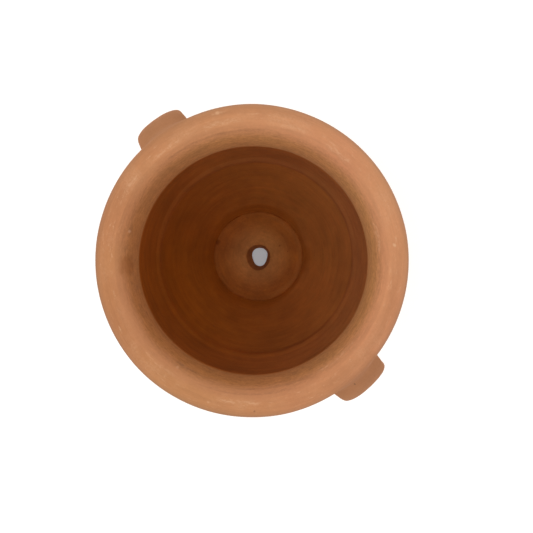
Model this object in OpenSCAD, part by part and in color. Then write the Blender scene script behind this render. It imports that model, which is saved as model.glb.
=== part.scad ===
// Terracotta planter: a heavy-rimmed garden pot with two strap lugs and one drain hole.
// It is put together the way a potter does it: a base slab, a lower wall, an upper wall and a
// rim collar sit on each other on bevelled and V-keyed joints, a coil is pressed over the
// inside of the middle seam, and two pulled lugs are luted on from the lip to the belly.
// The axis of the pot is Z, it stands on Z = 0, and the lugs are at +X and -X. Millimetres.

/* [Overall] */
// Height from the ground to the crest of the rim
pot_h = 280; // [262:1:340]

/* [Rim collar] */
// Radius of the lip at its widest line
rim_r = 150; // [146:0.5:158]
// How far the crest, the highest line of the rim, lies inside the lip's widest line
crest_in = 16.5; // [13:0.5:20]
// Height of the crest above the lip's widest line
lip_drop = 11; // [8:0.5:14]
// Height of the crest above the underside of the lip
lip_h = 24; // [20:0.5:28]
// How far the underside of the lip lies inside its widest line
lip_overhang = 12; // [9:0.5:14]

/* [Neck] */
// Inner radius of the neck, the narrowest part of the mouth
neck_r = 114.6; // [108:0.2:116]
// Wall at the neck
neck_wall = 12; // [9:0.5:14]
// Depth of the neck below the crest
neck_drop = 42; // [38:1:50]

/* [Belly] */
// Outer radius of the belly
belly_r = 141.5; // [136:0.5:146]
// Wall at the belly
belly_wall = 13; // [10:0.5:16]
// Height of the belly's widest line above the ground
belly_z = 170; // [160:1:178]

/* [Base] */
// Outer radius of the foot
foot_r = 76.5; // [72:0.5:84]
// Height at which the wall starts above the ground
foot_z = 8; // [6:0.5:10]
// Thickness of the base slab at the corner of the floor and the wall
floor_t = 15; // [13:0.5:18]
// Radius of that corner
floor_r = 58; // [55:0.5:62]
// How far the middle of the floor stands above the corner
pad_rise = 1.8; // [0.6:0.1:3]
// Width of the rounded edge of that raised pad
pad_edge = 4; // [2:0.5:6]
// Rounding of the bottom edge
edge_round = 4; // [2:0.5:5]

/* [Drain hole] */
// Radius of the straight bore through the slab
drain_r = 10.4; // [6:0.1:13]
// How far the bore lies off the middle of the floor, because it is cut by hand
drain_shift = 1.4; // [0:0.1:4]
// Direction of that shift, from +X towards +Y
drain_turn = 214; // [0:1:359]
// Radius of the pressed funnel at the floor
funnel_r = 16.3; // [14:0.1:20]
// Depth of the funnel below the pad
funnel_h = 12; // [8:0.5:13]
// How far the funnel's centre lies off the bore, because it is pressed by hand
funnel_shift = 2; // [0.2:0.1:3]
// Direction of that shift, from +X towards +Y
funnel_turn = 76; // [0:1:359]

/* [Joints] */
// Height of the joint of the lower and upper walls above the ground
seam_z = 102; // [85:1:110]
// Width of the V-shaped key in a joint
key_w = 6; // [4:0.5:7]
// Height of that key
key_h = 3; // [2:0.5:4]
// Height of the seam coil along the wall
coil_h = 16; // [9:0.5:20]
// How far the seam coil stands proud of the wall
coil_t = 1.6; // [1.2:0.1:3]

/* [Lugs] */
// How far the lugs stand out beyond the lip or the belly, whichever is wider
lug_out = 23.7; // [20:0.1:34]
// Width of the strap half way along
lug_w = 54; // [42:1:58]
// Width of the strap at its upper root, in the lip
lug_root_w = 61; // [54:1:68]
// Width of the strap where it is pressed onto the belly
lug_foot_w = 61; // [50:1:68]
// Thickness of the strap half way along
lug_t = 14.5; // [12:0.5:17]
// Thickness of the strap at its two roots
lug_root_t = 19; // [16:0.5:22]
// How far the side edges of a strap are drawn in, because it is bent round the pot
lug_bow = 1.8; // [0:0.1:4]
// Height of the upper root above the underside of the lip
lug_root_rise = 6; // [1:0.5:8]
// Height of the lower root above the belly's widest line
lug_foot_rise = 16; // [10:1:24]
// How far each lug is swung from the X axis towards -Y
lug_swing = 4; // [0:0.1:8]

/* [Hidden] */

// Steps of one curve of the turned outline, sections along a lug and points round a section
curve_steps = 10;
lug_steps = 26;
section_points = 24;
round_fn = 96;

// Roundness of a lug's section: 2 is an ellipse, and more is squarer
section_power = 2.5;

// How deep the ends of a lug's centre line lie in the clay before they are cut to its surface
lug_embed = 9;

// How far a cutter runs past the face that it opens
overcut = 1;

// Points of a curve nearer than this to the height of a cut are left out
hair = 0.01;

clay = [0.76, 0.53, 0.38];
clay_lug = [0.67, 0.46, 0.32];
clay_coil = [0.60, 0.37, 0.23];

crest_r = rim_r - crest_in;
neck_z = pot_h - neck_drop;
under_z = pot_h - lip_h;
under_r = rim_r - lip_overhang;
neck_out_r = neck_r + neck_wall;
belly_in_r = belly_r - belly_wall;
lug_reach = max(rim_r, belly_r) + lug_out;

// A point of a cubic curve from a to b, with handles pa and pb
function cubic(a, pa, pb, b, t) =
    pow(1 - t, 3) * a + 3 * pow(1 - t, 2) * t * pa + 3 * (1 - t) * t * t * pb + t * t * t * b;

// The points of a cubic curve, without its last one
function run(a, pa, pb, b) =
    [for (i = [0 : curve_steps - 1]) cubic(a, pa, pb, b, i / curve_steps)];

// The outside of the pot from the foot up to the crest, as [radius, height]
outer_curve = let (
        foot = [foot_r, foot_z],
        belly = [belly_r, belly_z],
        neck = [neck_out_r, neck_z],
        under = [under_r, under_z],
        lip = [rim_r, pot_h - lip_drop],
        crest = [crest_r, pot_h],
        bowl = belly_z - foot_z,
        shoulder = neck_z - belly_z,
        throat = under_z - neck_z,
        roll = lip_h - lip_drop
    ) concat(
        run(foot, foot + [bowl * 0.19, bowl * 0.17], belly - [0, bowl * 0.42], belly),
        run(belly, belly + [0, shoulder * 0.45], neck - [0, shoulder * 0.3], neck),
        run(neck, neck + [0, throat * 0.55], under - [(under_r - neck_out_r) * 0.5, 0], under),
        run(under, under + [lip_overhang * 0.55, 0], lip - [0, roll * 0.55], lip),
        run(lip, lip + [0, lip_drop * 0.7], crest + [(rim_r - crest_r) * 0.6, 0], crest),
        [crest]
    );

// The inside of the pot from the corner of the floor up to the crest
inner_curve = let (
        corner = [floor_r, floor_t],
        belly = [belly_in_r, belly_z],
        neck = [neck_r, neck_z],
        crest = [crest_r, pot_h],
        bowl = belly_z - floor_t,
        shoulder = neck_z - belly_z
    ) concat(
        run(corner, corner + [bowl * 0.16, bowl * 0.16], belly - [0, bowl * 0.48], belly),
        run(belly, belly + [0, shoulder * 0.45], neck - [0, shoulder * 0.3], neck),
        run(neck, neck + [0, neck_drop * 0.45], crest - [(crest_r - neck_r) * 0.6, 0], crest),
        [crest]
    );

// Radius of a curve at height z
function radius_at(curve, z) = lookup(z, [for (p = curve) [p[1], p[0]]]);

// The points of a curve between two heights, without those that fall on them
function inside(curve, low, high) =
    [for (p = curve) if (p[1] > low + hair && p[1] < high - hair) p];

// The part of a curve from one height up to another, cut exactly at both
function between(curve, low, high) = concat(
    [[radius_at(curve, low), low]],
    inside(curve, low, high),
    [[radius_at(curve, high), high]]
);

// The place on the ground at a distance from the axis
function from_axis(distance, turn) = distance * [cos(turn), sin(turn)];

function reversed(list) = [for (i = [len(list) - 1 : -1 : 0]) list[i]];

// The V-shaped key of a joint at height z, from the inside to the outside
function key_line(z) =
    let (middle = (radius_at(inner_curve, z) + radius_at(outer_curve, z)) / 2)
    [[middle - key_w / 2, z], [middle, z + key_h], [middle + key_w / 2, z]];

module turned(outline) {
    rotate_extrude($fn = round_fn) polygon(outline);
}

// The floor: a disc whose bevelled edge carries the wall, with the drain hole through it
module base_slab() {
    bottom_edge = [for (a = [-90 : 22.5 : 0])
        [foot_r - edge_round + edge_round * cos(a), edge_round + edge_round * sin(a)]];
    pad_edge_line = [for (a = [0 : 22.5 : 90])
        [floor_r - pad_edge + pad_edge * cos(a), floor_t + pad_rise * sin(a)]];
    top_z = floor_t + pad_rise;
    bore = from_axis(drain_shift, drain_turn);
    funnel = bore + from_axis(funnel_shift, funnel_turn);
    flare = (funnel_r - drain_r) / funnel_h;
    color(clay) difference() {
        turned(concat([[0, 0]], bottom_edge, [[foot_r, foot_z]], pad_edge_line, [[0, top_z]]));
        translate([bore[0], bore[1], -overcut])
            cylinder(r = drain_r, h = top_z + 2 * overcut, $fn = round_fn);
        translate([funnel[0], funnel[1], top_z - funnel_h]) cylinder(
            r1 = drain_r, r2 = funnel_r + flare * overcut, h = funnel_h + overcut,
            $fn = round_fn
        );
    }
}

// The lower wall: it stands on the slab's bevel and carries the upper wall on its key
module lower_wall() {
    color(clay) turned(concat(
        between(inner_curve, floor_t, seam_z),
        key_line(seam_z),
        reversed(between(outer_curve, foot_z, seam_z))
    ));
}

// The coil pressed over the inside of the seam of the two walls
module seam_coil() {
    low = seam_z - coil_h / 2;
    high = seam_z + coil_h / 2;
    bead = [for (a = [157.5 : -22.5 : 22.5]) let (z = seam_z - coil_h / 2 * cos(a))
        [radius_at(inner_curve, z) - coil_t * sin(a), z]];
    color(clay_coil) turned(concat(
        [[radius_at(inner_curve, low), low]],
        inside(inner_curve, low, seam_z),
        [[radius_at(inner_curve, seam_z), seam_z]],
        inside(inner_curve, seam_z, high),
        [[radius_at(inner_curve, high), high]],
        bead
    ));
}

// The upper wall: the shoulder up to the neck
module upper_wall() {
    color(clay) turned(concat(
        reversed(key_line(seam_z)),
        between(inner_curve, seam_z, neck_z),
        key_line(neck_z),
        reversed(between(outer_curve, seam_z, neck_z))
    ));
}

// The rim collar: the flared mouth with its rolled lip
module rim_collar() {
    color(clay) turned(concat(
        reversed(key_line(neck_z)),
        between(inner_curve, neck_z, pot_h),
        reversed(inside(outer_curve, neck_z, pot_h)),
        [[neck_out_r, neck_z]]
    ));
}

// The middle line of a lug's strap, from the lip out and down to the belly
lug_line = let (
        foot_z = belly_z + lug_foot_rise,
        root = [neck_out_r, under_z + lug_root_rise],
        foot = [radius_at(outer_curve, foot_z) - lug_embed, foot_z - lug_embed * 0.4],
        out_r = (8 * (lug_reach - lug_t / 2) - root[0] - foot[0]) / 6,
        drop = root[1] - foot[1]
    ) [root, [out_r, root[1] + drop * 0.02], [out_r, foot[1] + drop * 0.28], foot];

function lug_centre(u) = cubic(lug_line[0], lug_line[1], lug_line[2], lug_line[3], u);

// The direction square to the middle line at u, pointing away from the pot
function lug_normal(u) =
    let (step = 0.001, way = lug_centre(u + step) - lug_centre(u - step))
    [-way[1], way[0]] / norm(way);

function lug_width(u) =
    lug_w + ((u < 0.5 ? lug_root_w : lug_foot_w) - lug_w) * pow(2 * u - 1, 2);

function lug_thickness(u) = lug_t + (lug_root_t - lug_t) * pow(2 * u - 1, 4);

// A rounded value of a sine or cosine, for a section that is squarer than an ellipse
function squarer(value) = sign(value) * pow(abs(value), 2 / section_power);

function lug_section(u) =
    let (centre = lug_centre(u), normal = lug_normal(u))
    [for (j = [0 : section_points - 1])
        let (
            a = 360 * (j + 0.5) / section_points,
            side = squarer(cos(a)),
            p = centre + normal * lug_thickness(u) / 2 * squarer(sin(a)) - [lug_bow * side * side, 0]
        ) [p[0], lug_width(u) / 2 * side, p[1]]];

// The whole strap, with both ends still inside the clay
module lug_strap() {
    last = lug_steps - 1;
    points = [for (i = [0 : last]) each lug_section(i / last)];
    start_cap = [for (j = [0 : section_points - 1]) j];
    end_cap = [for (j = [section_points - 1 : -1 : 0]) last * section_points + j];
    sides = [for (i = [0 : last - 1], j = [0 : section_points - 1])
        let (
            a = i * section_points + j,
            b = i * section_points + (j + 1) % section_points
        ) each [[a, a + section_points, b], [b, a + section_points, b + section_points]]];
    polyhedron(points, concat([start_cap, end_cap], sides));
}

// A lug: its roots are cut to the lip and the belly, so that they seat on them face to face
module lug() {
    low = belly_z - lug_root_t;
    difference() {
        rotate([0, 0, -lug_swing]) lug_strap();
        turned(concat([[0, low]], between(outer_curve, low, pot_h), [[0, pot_h]]));
    }
}

module lug_right() {
    color(clay_lug) lug();
}

module lug_left() {
    color(clay_lug) mirror([1, 0, 0]) lug();
}

base_slab();
lower_wall();
seam_coil();
upper_wall();
rim_collar();
lug_right();
lug_left();
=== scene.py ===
"""A thrown terracotta planter with two strap lugs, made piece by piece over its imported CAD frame.

The sizes are those of the CAD model, in metres. The axis of the pot is Z, it stands on Z = 0, and
the lugs are at +X and -X. Each piece of clay has an operator, the two lugs share one, and the stage
round the pot has one too.
"""

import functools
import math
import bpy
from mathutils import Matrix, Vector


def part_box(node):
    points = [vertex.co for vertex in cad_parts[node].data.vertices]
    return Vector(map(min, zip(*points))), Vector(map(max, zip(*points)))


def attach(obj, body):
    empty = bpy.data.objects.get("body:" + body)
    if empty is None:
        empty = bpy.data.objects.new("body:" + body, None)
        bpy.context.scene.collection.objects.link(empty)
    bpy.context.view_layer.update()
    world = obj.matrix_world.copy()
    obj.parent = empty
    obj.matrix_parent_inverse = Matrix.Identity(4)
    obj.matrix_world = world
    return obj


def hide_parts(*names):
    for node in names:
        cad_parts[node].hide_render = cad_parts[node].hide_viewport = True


bl_info = {
    "name": "Terracotta planter",
    "version": (1, 0, 0),
    "blender": (4, 5, 0),
    "location": "3D View > Sidebar > Planter",
    "description": "Makes a thrown terracotta planter with two strap lugs, one piece of clay at a time",
    "category": "Add Mesh",
}

import bpy
import numpy as np
from bpy.props import FloatProperty, FloatVectorProperty, IntProperty, PointerProperty
from mathutils import Matrix, Vector, noise

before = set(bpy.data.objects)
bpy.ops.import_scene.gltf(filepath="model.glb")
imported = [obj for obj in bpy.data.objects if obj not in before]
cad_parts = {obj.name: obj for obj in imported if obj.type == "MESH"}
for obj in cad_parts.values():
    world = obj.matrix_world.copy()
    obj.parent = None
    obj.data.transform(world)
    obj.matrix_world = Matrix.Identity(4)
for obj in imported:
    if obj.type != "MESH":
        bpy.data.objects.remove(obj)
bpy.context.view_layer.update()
rim_box, wall_box, slab_box = (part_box(node) for node in ("rim_collar", "upper_wall", "base_slab"))

BODY = "root"
# Columns of a face line: radius, height, the way out of the clay, and the distance along it
R, Z, OUT_R, OUT_Z, ALONG = range(5)
# What a turned outline keeps at its points: the columns from OUT_R on, and those that with_marks adds
KEPT = ("out_r", "out_z", "along", "rings", "shift_x", "shift_y", "ragged", "within")
# Points of a face line closer than this to the height of a cut are left out
HAIR = 0.0002
# Faces that meet at a wider angle than this keep a sharp edge between them
CREASE = math.radians(48)
# From this radius on the floor and the underside are round the pot's axis, and not round the drain hole
TRUE_FLOOR = 0.034
# How far down the outside the marks on the rim reach, from the crest
MARKED_DROP = 0.016


# Sizes and colours that a user may change


def length(name, default, description, high=1.0):
    return FloatProperty(name=name, description=description, default=default, min=0.0, max=high,
                         unit="LENGTH", subtype="DISTANCE", precision=4)


def angle(name, default, description):
    return FloatProperty(name=name, description=description, default=math.radians(default),
                         unit="ROTATION", subtype="ANGLE")


def share(name, default, description):
    return FloatProperty(name=name, description=description, default=default, min=0.0, max=1.0,
                         subtype="FACTOR")


def colour(name, default, description):
    return FloatVectorProperty(name=name, description=description, default=default, size=3,
                               min=0.0, max=1.0, subtype="COLOR")


class PotSizes(bpy.types.PropertyGroup):
    """Sizes of the turned body, the same as in the CAD model."""

    height: length("Height", round(rim_box[1].z, 5), "From the ground to the crest of the rim")
    lip_radius: length("Lip radius", 0.150, "Radius of the lip at its widest line")
    lip_drop: length("Lip drop", 0.011, "From the crest down to the lip's widest line")
    lip_height: length("Lip height", 0.024, "From the crest down to the underside of the lip")
    lip_overhang: length("Lip overhang", 0.012, "How far the underside lies inside the widest line")
    crest_in: length("Crest in", 0.0165, "How far the crest lies inside the lip's widest line")
    neck_radius: length("Neck radius", 0.1146, "Inner radius of the narrowest part of the mouth")
    neck_wall: length("Neck wall", 0.012, "Thickness of the wall at the neck")
    neck_height: length("Neck height", round(rim_box[0].z, 5), "From the ground up to the neck")
    neck_shift: length("Neck shift", 0.0006, "How far the neck runs off the middle")
    neck_turn: angle("Neck direction", 194.0, "Direction of that shift, from +X towards +Y")
    belly_radius: length("Belly radius", round(wall_box[1].x, 4), "Outer radius of the belly")
    belly_wall: length("Belly wall", 0.013, "Thickness of the wall at the belly")
    belly_height: length("Belly height", 0.170, "From the ground up to the belly's widest line")
    seam_height: length("Seam height", round(wall_box[0].z, 5), "Joint of the two walls")
    foot_radius: length("Foot radius", round(slab_box[1].x, 4), "Outer radius of the foot")
    foot_height: length("Foot height", 0.008, "Height at which the wall starts outside")
    edge_round: length("Edge rounding", 0.004, "Rounding of the bottom edge")
    floor_radius: length("Floor radius", 0.058, "Radius of the corner of the floor and the wall")
    floor_height: length("Floor height", 0.015, "Height of that corner")
    pad_rise: length("Pad rise", 0.0018, "How far the middle of the floor stands above the corner")
    pad_edge: length("Pad edge", 0.004, "Width of the pad's rounded edge")
    drain_radius: length("Drain radius", 0.0104, "Radius of the straight bore")
    funnel_radius: length("Funnel radius", 0.0163, "Radius of the pressed funnel at the floor")
    funnel_depth: length("Funnel depth", 0.012, "Depth of the funnel")
    drain_shift: length("Drain shift", 0.0014, "How far the bore lies off the middle of the floor")
    drain_turn: angle("Drain direction", 214.0, "Direction of that shift, from +X towards +Y")
    funnel_shift: length("Funnel shift", 0.0020, "How far the funnel is pressed off the bore's centre")
    funnel_turn: angle("Funnel direction", 76.0, "Direction of that shift, from +X towards +Y")
    drain_ragged: length("Drain raggedness", 0.0011, "How far the knife strayed when the hole was cut")
    drain_way: angle("Drain point", 141.5, "Direction in which the hole is longest, from +X towards +Y")
    key_width: length("Key width", 0.006, "Width of the V-shaped key in a joint")
    key_height: length("Key height", 0.003, "Height of that key")
    coil_height: length("Coil height", 0.016, "Height of the seam coil along the wall")
    coil_depth: length("Coil depth", 0.0016, "How far the seam coil stands proud")


class LugSizes(bpy.types.PropertyGroup):
    """Sizes of the two strap lugs, the same as in the CAD model, and of the clay smeared at their roots."""

    out: length("Reach", 0.0237, "How far a lug stands out beyond the lip")
    width: length("Width", 0.054, "Width of the strap half way along")
    root_width: length("Root width", 0.061, "Width of the strap at its upper root")
    foot_width: length("Foot width", 0.061, "Width of the strap at its lower root")
    thickness: length("Thickness", 0.0145, "Thickness of the strap half way along")
    root_thickness: length("Root thickness", 0.019, "Thickness of the strap at its roots")
    bow: length("Bow", 0.0018, "How far the side edges of the strap are drawn in towards the pot")
    root_rise: length("Root rise", 0.006, "Height of the upper root above the underside of the lip")
    foot_rise: length("Foot rise", 0.016, "Height of the lower root above the belly's widest line")
    embed: length("Embedding", 0.009, "How deep the end of the middle line lies in the clay")
    swing: angle("Swing", 4.0, "How far each lug is swung from the X axis towards -Y")
    squareness: FloatProperty(name="Squareness", description="Shape of the section, 2 is an ellipse",
                              default=2.6, min=2.0, max=6.0)
    fillet_side: length("Side smear", 0.0070, "Width of the smeared clay beside a root")
    fillet_top: length("Top smear", 0.0095, "Width of the smeared clay on the outer face")
    over_lip: length("Smear over the lip", 0.0150, "How far the smeared clay climbs up over the lip")
    fillet_under: length("Under smear", 0.0060, "Width of the smeared clay on the inner face")
    unevenness: length("Unevenness", 0.0004, "Depth of the dents left by the hand")
    right_short: length("Right lug shorter", 0.0017, "How much less the lug at +X stands out than the other")
    right_narrow: length("Right lug narrower", 0.0030, "How much narrower the lug at +X is than the other")


class ThrowingMarks(bpy.types.PropertyGroup):
    """What the wheel and the hands left in the turned clay."""

    steps_around: IntProperty(name="Steps around", description="Faces round the pot", default=320,
                              min=24, max=512)
    ring_depth: length("Ring depth", 0.00012, "Depth of the spiral rings that fingers leave inside")
    ring_pitch: length("Ring pitch", 0.0125, "Distance from one ring to the next")
    wobble: length("Wobble", 0.00050, "How far the wall runs out of true")
    wobble_size: length("Wobble size", 0.075, "Width of one swell of that wobble")
    seed: FloatProperty(name="Seed", description="Start of the noise behind rings and wobble", default=3.0)


class ClayLooks(bpy.types.PropertyGroup):
    """Colours and surface of the fired clay."""

    clay: colour("Clay", (0.452, 0.194, 0.080), "Colour of the rim and the outside")
    # The pale colours make one side of the whole pot lighter, towards the Pale side direction.
    clay_pale: colour("Clay, pale side", (0.547, 0.237, 0.113), "The same on the side that fired paler")
    # Painted shade: this darker colour of the inside, and its pale side, stand in for the shade deep in the
    # pot.
    deep: colour("Inside", (0.354, 0.0960, 0.0052), "Colour of the damp-looking inside, low down")
    deep_pale: colour("Inside, pale side", (0.478, 0.175, 0.041), "The same on the paler side")
    low: colour("Low inside", (0.560, 0.190, 0.028), "Lighter colour of the walls' inside near the floor")
    # Painted shade: these darker colours of the inside above the seam stand in for the shade there.
    above: colour("Inside above", (0.371, 0.102, 0.0075), "Colour of the inside above the seam")
    above_pale: colour("Inside above, pale side", (0.433, 0.158, 0.046), "The same on the paler side")
    # Painted shade: these darker colours low in the mouth stand in for the shade where it turns down into the
    # pot.
    slope: colour("Mouth", (0.392, 0.150, 0.0465), "Colour of the darker clay low in the mouth")
    painted_mouth_shade_pale: colour("Mouth, pale side", (0.469, 0.210, 0.077), "The same on the paler side")
    # Painted shade: the lugs' colour is darker than the clay to stand in for the shade under the lip.
    lug: colour("Lugs", (0.362, 0.157, 0.067), "Colour of the lugs")
    # Painted shade: this dark colour stands in for the shade in the corner of the floor and the wall.
    damp: colour("Damp", (0.355, 0.098, 0.0050), "Colour of the damp clay round the floor")
    # Partly painted shade: besides pits, this dark colour stands in for the shade in the drain hole, in
    # grooves and under the seam coil.
    burnt_and_shade: colour("Burnt", (0.230, 0.060, 0.0060), "Colour of the drain hole's edge and of pits inside")
    # Painted light: this lighter colour stands in for the light that reaches the middle of the floor.
    floor: colour("Floor", (0.560, 0.250, 0.076), "Colour of the floor round the drain hole")
    # Painted highlight: this pale colour stands in for the highlights along the crest and its ridges.
    chalk: colour("Chalk", (0.660, 0.370, 0.205), "Colour of the pale bloom on the crest")
    # Partly painted shade: besides smudges and pits, this colour paints the shade under the ridge at the
    # crest's inner edge.
    soot_and_shade: colour("Soot", (0.190, 0.085, 0.040), "Colour of smudges and pits")
    # Painted shade: a darker, greyer colour low on the lip's outer roll that stands in for the shade there.
    edge: colour("Lip's edge", (0.205, 0.124, 0.074), "Colour of the greyer clay low on the lip")
    side_turn: angle("Pale side", -100.0, "Direction of the paler side, from +X towards +Y")
    inside_turn: angle("Pale side inside", -115.0, "The same for the walls' inside")
    painted_edge_shade: share("Edge shade", 0.50, "How much of that colour shows low on the lip")
    mottle: share("Mottling", 0.16, "Strength of the soft clouds of lighter and darker clay")
    grain_depth: length("Grain depth", 0.00006, "Depth of the fine grain")
    line_depth: length("Line depth", 0.00009, "Depth of the fine turning lines")
    roughness: share("Roughness", 0.90, "Roughness of the bare fired clay")


class StageSettings(bpy.types.PropertyGroup):
    """The camera above the pot, the light and the ground."""

    camera_height: length("Camera height", 0.980, "Height of the camera above the ground", high=5.0)
    camera_right: length("Camera right", 0.0257, "Offset of the camera towards the picture's right")
    camera_up: length("Camera up", 0.0195, "Offset of the camera towards the picture's top")
    turn: angle("Turn", -128.55, "Direction of the picture's right side, from +X towards +Y")
    tilt_left: angle("Tilt left", 0.91, "Tilt of the view towards the picture's left")
    tilt_down: angle("Tilt down", 1.935, "Tilt of the view towards the picture's bottom")
    lens: FloatProperty(name="Lens", description="Focal length", default=50.14, min=10.0, max=300.0,
                        unit="CAMERA")
    sky: FloatProperty(name="Sky", description="Strength of the white light from all round", default=1.045,
                       min=0.0, max=5.0)
    key: FloatProperty(name="Key light", description="Power of the soft light at the side", default=2.5,
                       min=0.0, max=500.0, unit="POWER")
    ground: colour("Ground", (0.84, 0.83, 0.82), "Colour of the ground")
    ground_glow: share("Ground glow", 0.32, "Light that the ground gives by itself")
    # Painted shadow and light: under the pot the ground glows less, and bluer, than round it.
    shaded_glow: share("Shaded glow", 0.17, "The same light under the pot, seen through the drain hole")


# Outlines of the turned body


def cubic(t, a, handle_a, handle_b, b):
    """Points of a cubic curve at the shares t of its way."""
    return ((1 - t) ** 3 * a + 3 * (1 - t) ** 2 * t * handle_a
            + 3 * (1 - t) * t ** 2 * handle_b + t ** 3 * b)


def curve(a, leave, arrive, b, steps):
    """A curve from a to b without its last point. Leave and arrive lead from its ends to its handles."""
    t = np.arange(steps)[:, None] / steps
    a, b = np.asarray(a, float), np.asarray(b, float)
    return cubic(t, a, a + leave, b + arrive, b)


def shoulder(belly, neck, steps):
    """The stretch from the belly's widest line in to the neck, upright at both ends."""
    rise, leave, arrive = neck[1] - belly[1], 0.45, 0.3
    return curve(belly, (0, rise * leave), (0, -rise * arrive), neck, steps)


def face_line(points, facing):
    """A face of the wall from its foot up. Facing is 1 for the outside and -1 for the inside."""
    step = np.gradient(points, axis=0)
    step /= np.hypot(step[:, 0], step[:, 1])[:, None]
    out = np.column_stack([step[:, 1], -step[:, 0]]) * facing
    gaps = np.hypot(*np.diff(points, axis=0).T)
    return np.column_stack([points, out, np.concatenate([[0.0], np.cumsum(gaps)])])


def crest_of(pot):
    return (pot.lip_radius - pot.crest_in, pot.height)


def inner_face(pot):
    """The inside of the pot, from the corner of the floor up to the crest."""
    # How far the curves' handles reach, as shares of the rise or the width of their stretch
    sweep, upright, out_of_neck, onto_crest = 0.16, 0.48, 0.45, 0.6
    corner = (pot.floor_radius, pot.floor_height)
    belly = (pot.belly_radius - pot.belly_wall, pot.belly_height)
    neck = (pot.neck_radius, pot.neck_height)
    crest = crest_of(pot)
    bowl, flare = belly[1] - corner[1], crest[1] - neck[1]
    line = face_line(np.vstack([
        curve(corner, (bowl * sweep, bowl * sweep), (0, -bowl * upright), belly, steps=150),
        shoulder(belly, neck, steps=60),
        curve(neck, (0, flare * out_of_neck), (-(crest[0] - neck[0]) * onto_crest, 0), crest, steps=70),
        [crest],
    ]), -1)
    line[:, ALONG] += pot.floor_radius
    return line


def outer_face(pot):
    """The outside of the pot, from the foot up to the crest. Its distance goes on from the inside's."""
    # How far the curves' handles reach, as shares of the rise or the width of their stretch
    sweep_out, sweep_up, upright, out_of_neck, under_lip = 0.19, 0.17, 0.42, 0.55, 0.5
    round_under, round_over, onto_crest = 0.55, 0.7, 0.6
    foot = (pot.foot_radius, pot.foot_height)
    belly = (pot.belly_radius, pot.belly_height)
    neck = (pot.neck_radius + pot.neck_wall, pot.neck_height)
    under = (pot.lip_radius - pot.lip_overhang, pot.height - pot.lip_height)
    lip = (pot.lip_radius, pot.height - pot.lip_drop)
    crest = crest_of(pot)
    bowl, throat, roll = belly[1] - foot[1], under[1] - neck[1], pot.lip_height - pot.lip_drop
    line = face_line(np.vstack([
        curve(foot, (bowl * sweep_out, bowl * sweep_up), (0, -bowl * upright), belly, steps=130),
        shoulder(belly, neck, steps=56),
        curve(neck, (0, throat * out_of_neck), (-(under[0] - neck[0]) * under_lip, 0), under, steps=22),
        curve(under, (pot.lip_overhang * round_under, 0), (0, -roll * round_under), lip, steps=26),
        curve(lip, (0, pot.lip_drop * round_over), (pot.crest_in * onto_crest, 0), crest, steps=30),
        [crest],
    ]), 1)
    line[:, ALONG] = inner_face(pot)[-1, ALONG] + line[-1, ALONG] - line[:, ALONG]
    return line


def between(line, low, high):
    """The stretch of a face between two heights, cut exactly at both."""
    inside = line[(line[:, Z] > low + HAIR) & (line[:, Z] < high - HAIR), Z]
    heights = np.concatenate([[low], inside, [high]])
    return np.column_stack([np.interp(heights, line[:, Z], column) for column in line.T])


def direction_of(turn):
    return (math.cos(turn), math.sin(turn), 0.0)


def around_axis(distance, turn):
    return np.array([distance * math.cos(turn), distance * math.sin(turn)])


def radius_at(line, height):
    return np.interp(height, line[:, Z], line[:, R])


def neck_shift(pot, heights):
    """How far the rings of the wall lie off the axis, because the neck was closed in by hand."""
    start, stop = 0.18, pot.height - 0.012
    strength = np.interp(heights, [start, pot.neck_height, stop], [0.0, 1.0, 0.0])
    return np.asarray(strength)[..., None] * around_axis(pot.neck_shift, pot.neck_turn)


def ring_strength_inside(heights):
    """How strongly the throwing rings show inside: full in the bowl, wiped away on the rim."""
    return np.interp(heights, [0.015, 0.03, 0.16, 0.225, 0.238, 0.27, 0.28],
                     [0.4, 1.0, 1.0, 0.4, 0.1, 0.1, 0.0])


def ring_strength_outside(heights):
    """How strongly the throwing rings show outside, where a rib has smoothed them."""
    return np.interp(heights, [0.008, 0.05, 0.2, 0.24, 0.28], [0.1, 0.3, 0.3, 0.1, 0.0])


# Rows of an outline: stretches of a face with what the wheel and the hand do to them


def with_marks(face, rings=0.0, shift=(0.0, 0.0), ragged=0.0, within=0.0):
    """A stretch of a face with how strongly rings act on it, how far it lies off the axis, how ragged
    it was cut, and whether it lies inside the pot."""
    count = len(face)
    return np.column_stack([face, np.broadcast_to(rings, count), np.broadcast_to(shift, (count, 2)),
                            np.broadcast_to(ragged, count), np.broadcast_to(within, count)])


def plain_face(points, out_r=0.0):
    """Points of a joint, an edge or the hole. Those without a way out of the clay stay where they are."""
    points = np.asarray(points, float).reshape(-1, 2)
    return np.column_stack([points, np.full(len(points), out_r), np.zeros((len(points), 2))])


def key_rows(pot, height):
    """The V-shaped key of a joint, from the inside to the outside."""
    middle = (radius_at(inner_face(pot), height) + radius_at(outer_face(pot), height)) / 2
    half = pot.key_width / 2
    key = plain_face([(middle - half, height), (middle, height + pot.key_height), (middle + half, height)])
    return with_marks(key, shift=neck_shift(pot, height))


def inside_rows(pot, low, high):
    """The inside of the wall between two heights, from below."""
    face = between(inner_face(pot), low, high)
    return with_marks(face, ring_strength_inside(face[:, Z]), neck_shift(pot, face[:, Z]), within=1.0)


def outside_rows(pot, low, high):
    """The outside of the wall between two heights, from above."""
    face = between(outer_face(pot), low, high)[::-1]
    return with_marks(face, ring_strength_outside(face[:, Z]), neck_shift(pot, face[:, Z]))


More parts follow.
